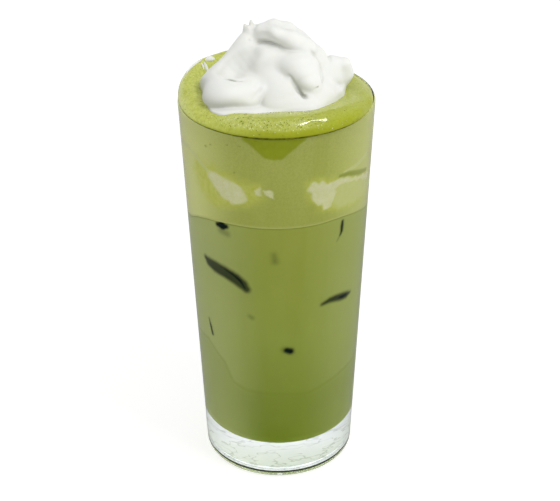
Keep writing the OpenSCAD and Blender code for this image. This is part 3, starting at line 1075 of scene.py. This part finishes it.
# %% Creases and dimples
# The strokes are in the same space as the lobes, before the whole dollop is bent a little out of true
DIMPLE = [(-18.0, -11.4, 15.2, 2.6), (-14.6, -8.8, 17.8, 4.0), (-11.0, -7.8, 20.8, 2.8)]
CREASE_LIP = [(-14.5, -20.4, 11.2, 1.0), (-9.6, -20.0, 10.6, 1.2), (-6.0, -18.2, 11.0, 0.9)]
LEFT_CREASE = [(-21.1, -16.1, 15.4, 0.12), (-20.0, -16.8, 14.9, 0.42), (-18.5, -17.1, 14.4, 0.6),
               (-16.1, -18.1, 14.6, 0.48), (-14.0, -17.9, 14.5, 0.3), (-11.9, -16.2, 14.2, 0.12)]
UNDER_CREST = [(-11.0, -1.8, 24.0, 0.3), (-8.4, -2.4, 26.0, 1.0), (-5.0, -4.4, 27.6, 1.3),
               (0.4, -7.4, 25.8, 0.8), (4.6, -9.0, 24.4, 0.5), (9.0, -8.6, 23.6, 0.2)]
HOOK = [(2.1, -15.5, 14.1, 0.16), (4.7, -15.5, 15.1, 0.4), (6.1, -16.9, 12.8, 0.48),
        (7.9, -18.5, 10.4, 0.56), (9.5, -19.4, 8.5, 0.72), (11.2, -20.6, 8.3, 0.8),
        (12.8, -20.6, 9.0, 0.4), (14.6, -18.3, 11.5, 0.16), (16.2, -14.5, 12.3, 0.32),
        (18.1, -9.1, 11.6, 0.48), (18.1, -6.2, 12.9, 0.56), (16.7, -6.7, 16.8, 0.48),
        (15.0, -6.3, 19.5, 0.4), (12.7, -7.4, 22.8, 0.16)]
LOBE_END = [(-6.3, -18.6, 12.8, 0.2), (-6.4, -19.5, 12.2, 0.5), (-6.7, -21.2, 11.6, 0.8),
            (-7.6, -23.3, 10.7, 0.9), (-8.8, -25.2, 9.3, 0.8), (-10.4, -26.1, 7.5, 0.3)]
BEND = 0.6                 # how far the dollop is pushed out of true, in mm


def dollop_field(p):
    """The dollop: lobes melted together, with creases and dimples taken away and torn tips added."""
    bent = p.copy()
    bent[..., 0] += BEND * np.sin(p[..., 1] * 0.31 + p[..., 2] * 0.23 + 0.5)
    bent[..., 1] += BEND * np.sin(p[..., 0] * 0.27 - p[..., 2] * 0.35 - 1.2)
    bent[..., 2] += BEND * np.sin(p[..., 0] * 0.22 + p[..., 1] * 0.25 + 2.0)
    field = lobes_field(bent)
    field = carve(field, swept(bent, curved(DIMPLE)), 4.5)
    field = melt(field, swept(bent, curved(CREASE_LIP)), 2.5)
    for crease in (LEFT_CREASE, UNDER_CREST, HOOK, LOBE_END):
        field = carve(field, swept(bent, curved(crease)), 0.8)
    for tip in TIPS:
        field = melt(field, swept(bent, tip), 0.8)
    return np.maximum(field, -2 - p[..., 2])


# %% From field to mesh
CREAM_STEP = 0.45      # size of a cell of the field, in mm
CREAM_LOW = np.array((-37, -38, -4.0))
CREAM_HIGH = np.array((38, 36, 36.0))


def field_mesh(name, field, low, high, step):
    """Draws the surface where a field is nothing, as a mesh in metres round the middle of the rim."""
    axes = [np.arange(a, b, step, dtype=np.float32) for a, b in zip(low, high)]
    places = np.stack(np.meshgrid(*axes, indexing="ij"), -1)
    volume = openvdb.FloatGrid(background=3.0)
    volume.copyFromArray(np.ascontiguousarray(field(places), np.float32))
    corners, quads = volume.convertToQuads(isovalue=0.0)
    corners = (corners * step + np.array(low)) * MM + np.array((0, 0, RIM))
    mesh = bpy.data.meshes.new(name)
    mesh.from_pydata(corners.tolist(), [], quads[:, ::-1].tolist())
    work = bmesh.new()
    work.from_mesh(mesh)
    bmesh.ops.smooth_vert(work, verts=work.verts, factor=0.5,
                          use_axis_x=True, use_axis_y=True, use_axis_z=True)
    bmesh.ops.recalc_face_normals(work, faces=work.faces)
    work.to_mesh(mesh)
    work.free()
    return mesh


def normals_of(mesh):
    normals = np.zeros(len(mesh.vertices) * 3, np.float32)
    mesh.vertex_normals.foreach_get("vector", normals)
    return normals.reshape(-1, 3)


def closed_in(mesh, field, reach):
    """How far each point is closed in by what stands round it: 0 on a plain bulge, towards 1 in a fold."""
    places = (points_of(mesh) - np.array((0, 0, RIM), np.float32)) / MM + normals_of(mesh) * reach
    return np.clip(1 - field(places) / reach, 0, 1)


cream_mesh = field_mesh("cream", dollop_field, CREAM_LOW, CREAM_HIGH, CREAM_STEP)
# Painted shade: folds, and faces low on the dollop that turn away to the lower left, are marked here to be
# painted greyer.
fold = 0.4 * closed_in(cream_mesh, dollop_field, 1.5) + 0.6 * closed_in(cream_mesh, dollop_field, 4.0)
turned_away = normals_of(cream_mesh) @ np.array((-0.55, 0.0, -0.75))
paint(cream_mesh, "fold", smooth_rise(fold, 0.04, 0.8))
height_on_cream = (points_of(cream_mesh)[:, 2] - RIM) / MM
low_on_cream = 1 - 0.5 * smooth_rise(height_on_cream, 11.0, 19.0)
paint(cream_mesh, "under", smooth_rise(turned_away, -0.6, 0.55) * low_on_cream)
print("cream is", round(float(height_on_cream.max()), 1), "mm above the rim")

# %% [markdown]
# ### Finish of the cream
# Whipped cream is white with a trace of yellow, soft because light travels through it for a millimetre or
# two, and satin with fine pits where air bubbles broke at the surface. Folds and the faces that turn away to
# the lower left are painted a little greyer, because the even surround alone would leave them too white.

# %% Cream finish
whipped = Finish("whipped_cream", IOR=1.4, Subsurface_Weight=0.3, Subsurface_Radius=(0.0012, 0.0011, 0.0009),
                 Subsurface_Scale=1.0, Specular_IOR_Level=0.4)
grain = whipped.noise(0.0016, detail=3.0, roughness=0.6)
streak = whipped.noise(0.006, detail=2.0, stretch=(1, 1, 2.2))
white = whipped.mix(streak, rgb(246, 247, 243), rgb(241, 242, 236))
folded = whipped.layered(white, [
    (whipped.painted("under") * 0.8, rgb(168, 170, 156)),
    (whipped.painted("fold") * 0.45, rgb(188, 190, 180))])
whipped.plug(whipped.shader, {"Base Color": folded, "Roughness": 0.38 + grain * 0.2,
                              "Normal": whipped.bump(grain * 0.6 + streak * 0.4, 0.0003, 0.5)})
cream = keep("cream_dollop", cream_mesh, whipped.material)

# %% [markdown]
# ### What the spoon dropped
# At the back left the spoon touched the foam on its way out and left a few small flecks and one thin smear of
# cream on it. They are more lobes of the same kind, drawn with a finer cell.

# %% Flecks of cream
# Each fleck is a row of points (right, away, radius) in mm, which is laid on the foam
FLECKS = [[(-28.2, 17.6, 0.5), (-26.8, 18.6, 1.2), (-25.4, 19.6, 0.7)],
          [(-28.8, 15.5, 0.3), (-27.9, 12.6, 0.65), (-26.8, 9.4, 0.3)],
          [(-30.0, 14.8, 0.2), (-29.2, 12.6, 0.4), (-28.8, 10.8, 0.2)],
          [(-35.6, 6.0, 0.2), (-34.2, 10.2, 0.45), (-32.0, 14.0, 0.45), (-29.8, 17.4, 0.2)]]


def laid(fleck):
    """Balls along a fleck, each resting on the foam that lies below it."""
    balls = []
    for x, y, radius in curved(fleck):
        _, place, _, _ = foam.ray_cast((x * MM, y * MM, RIM + 30 * MM), (0, 0, -1))
        balls.append((x, y, (place.z - RIM) / MM + radius * 0.25, radius))
    return balls


bpy.context.view_layer.update()
LAID_FLECKS = [laid(fleck) for fleck in FLECKS]


def flecks_field(p):
    field = swept(p, LAID_FLECKS[0])
    for fleck in LAID_FLECKS[1:]:
        field = melt(field, swept(p, fleck), 0.3)
    return field


flecks_mesh = field_mesh("flecks", flecks_field, np.array((-38, 3, 2.0)), np.array((-22, 24, 12.0)), 0.2)
for label in ("fold", "under"):
    paint(flecks_mesh, label, np.zeros(len(flecks_mesh.vertices)))
flecks = keep("cream_flecks", flecks_mesh, whipped.material)

# %% [markdown]
# ### Ice cubes
# A melting cube is a box whose edges have gone round, so each is the distance to a turned box with a wide
# rounding, cut off just inside the wall, and drawn by the same tool as the cream. Each has a direction, a
# distance from the axis and a height, and is turned by chance from a fixed seed. Five of them stand behind
# dark places of the drink. The ice is clear, with a little frost in it.

# %% Ice finish
clear_ice = Finish("clear_ice", Roughness=0.06, IOR=1.31, Transmission_Weight=0.92)
frost = clear_ice.noise(0.007, detail=3.0, roughness=0.6)
clear_ice.plug(clear_ice.shader, {
    "Base Color": clear_ice.mix(frost.between(0.4, 0.7), (0.93, 0.97, 0.98, 1), (0.80, 0.86, 0.88, 1)),
    "Normal": clear_ice.bump(frost, 0.0006, 0.5)})

# %% Ice cubes
# Direction, distance from the axis and height of each cube, in degrees and mm
CUBES = [(-38, 17, 100), (48, 17, 88), (7, 17, 64), (150, 15, 78), (165, 14, 105), (-100, 16, 72),
         (70, 17, 113)]
CUBE_HALF = 11.5           # half of a cube's side, in mm
CUBE_ROUND = 4.0           # how round its edges have melted


def cubes_field(p):
    chance = np.random.default_rng(12)
    field = np.full(p.shape[:-1], 99.0, np.float32)
    for direction, reach, height in CUBES:
        centre = spot(direction, reach, height - RIM / MM)
        turn, _ = np.linalg.qr(chance.normal(size=(3, 3)))
        beyond = np.abs((p - centre) @ turn) - (CUBE_HALF - CUBE_ROUND)
        box = np.linalg.norm(np.maximum(beyond, 0), axis=-1) + np.minimum(beyond.max(-1), 0) - CUBE_ROUND
        field = melt(field, box, 0.8)
    wall = np.hypot(p[..., 0], p[..., 1]) - (bore(p[..., 2] * MM + RIM) / MM - 0.8)
    return np.maximum(field, wall)


ice_mesh = field_mesh("ice", cubes_field, np.array((-34, -34, -118.0)), np.array((34, 34, -36.0)), 1.0)
ice = keep("ice_cubes", ice_mesh, clear_ice.material)
print(len(CUBES), "cubes in the drink")

# %% [markdown]
# ## Floor and light
# The glass stands on a plain white surface in an even white surround, which is what makes clear glass read
# as glass. One soft light high at the front right gives the cream its shading, and a second one, nearly
# overhead, gives only the wet foam its highlight. The floor glows a little, so that it is as white as the
# surround and only the glass's own shade is left on it.
# The surround tells three kinds of ray apart: what lights soft surfaces, what is seen through the glass, and
# what gloss mirrors, which is a dim room with a brighter back.

# %% Floor
floor_finish = Finish("white_floor", Roughness=0.8, Specular_IOR_Level=0.1,
                      Emission_Color=(1, 1, 1, 1), Emission_Strength=0.68)
floor_finish.plug(floor_finish.shader, {"Base Color": floor_finish.mix(
    floor_finish.noise(0.2), (0.48, 0.48, 0.48, 1), (0.50, 0.50, 0.50, 1))})
FLOOR_HALF = 3.0
floor_mesh = bpy.data.meshes.new("floor")
floor_corners = [(x * FLOOR_HALF, y * FLOOR_HALF, 0) for x, y in ((-1, -1), (1, -1), (1, 1), (-1, 1))]
floor_mesh.from_pydata(floor_corners, [], [(0, 1, 2, 3)])
floor = keep("floor", floor_mesh, floor_finish.material)
floor.visible_glossy = False

# %% Lights
bpy.context.scene.view_settings.view_transform = "Standard"
LIT_LEVEL = 0.70           # what soft surfaces receive from the surround
SEEN_LEVEL = 1.0           # what is seen directly or through glass
MIRROR_FRONT = 0.06        # what gloss reflects from the camera's side of the room
MIRROR_BACK = 0.85         # and from the far side
surround = bpy.data.worlds.new("surround")
surround.use_nodes = True
bpy.context.scene.world = surround
sky = Tree(surround.node_tree)
depth = sky.add("ShaderNodeLightPath", output="Diffuse Depth")
lit = depth.math("GREATER_THAN", depth, 0.5)
mirrored = depth.other("Is Reflection Ray") * (1 - lit)
heading = sky.add("ShaderNodeTexCoord", output="Generated")
away = sky.add("ShaderNodeSeparateXYZ", None, {"Vector": heading}, output="Y")
up = away.other("Z")
not_high = 1 - up.between(0.05, 0.45) * 0.85
not_deep = 0.35 + up.between(-0.55, -0.1) * 0.65
low_back = away.between(-0.5, 0.95) * not_high * not_deep
mirror_level = MIRROR_FRONT + low_back * (MIRROR_BACK - MIRROR_FRONT)
sky.plug(sky.nodes["Background"], {
    "Color": (1, 1, 1, 1),
    "Strength": lit * LIT_LEVEL + mirrored * mirror_level + (1 - lit - mirrored) * SEEN_LEVEL})


def soft_light(name, place, aim, width, power):
    lamp = bpy.data.lights.new(name, "AREA")
    lamp.size = width
    lamp.energy = power
    holder = bpy.data.objects.new(name, lamp)
    bpy.context.scene.collection.objects.link(holder)
    holder.location = place
    holder.rotation_mode = "QUATERNION"
    holder.rotation_quaternion = (Vector(aim) - Vector(place)).to_track_quat("-Z", "Y")
    return holder


key = soft_light("key", (0.36, -0.26, 0.78), (0, 0, 0.17), 0.24, 1.7)
key.visible_glossy = False
gleam = soft_light("gleam", (0.30, 0.03, 0.86), (0, 0, 0.17), 0.13, 1.1)
gleam.visible_diffuse = False

# %% [markdown]
# ## Handing the pieces over
# Every piece rides on the one body that the drink has, and a piece that stands for a construction node hides
# that node.

# %% Ride and replace
for piece, node, slot in ((glass, "glass", "glass"), (latte, "latte", "latte"), (foam, "foam", "foam"),
                          (cream, "cream", "cream"), (bubbles, None, "foam"), (flecks, None, "cream"),
                          (ice, None, "ice")):
    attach(piece, "root")
    if node:
        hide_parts(node)
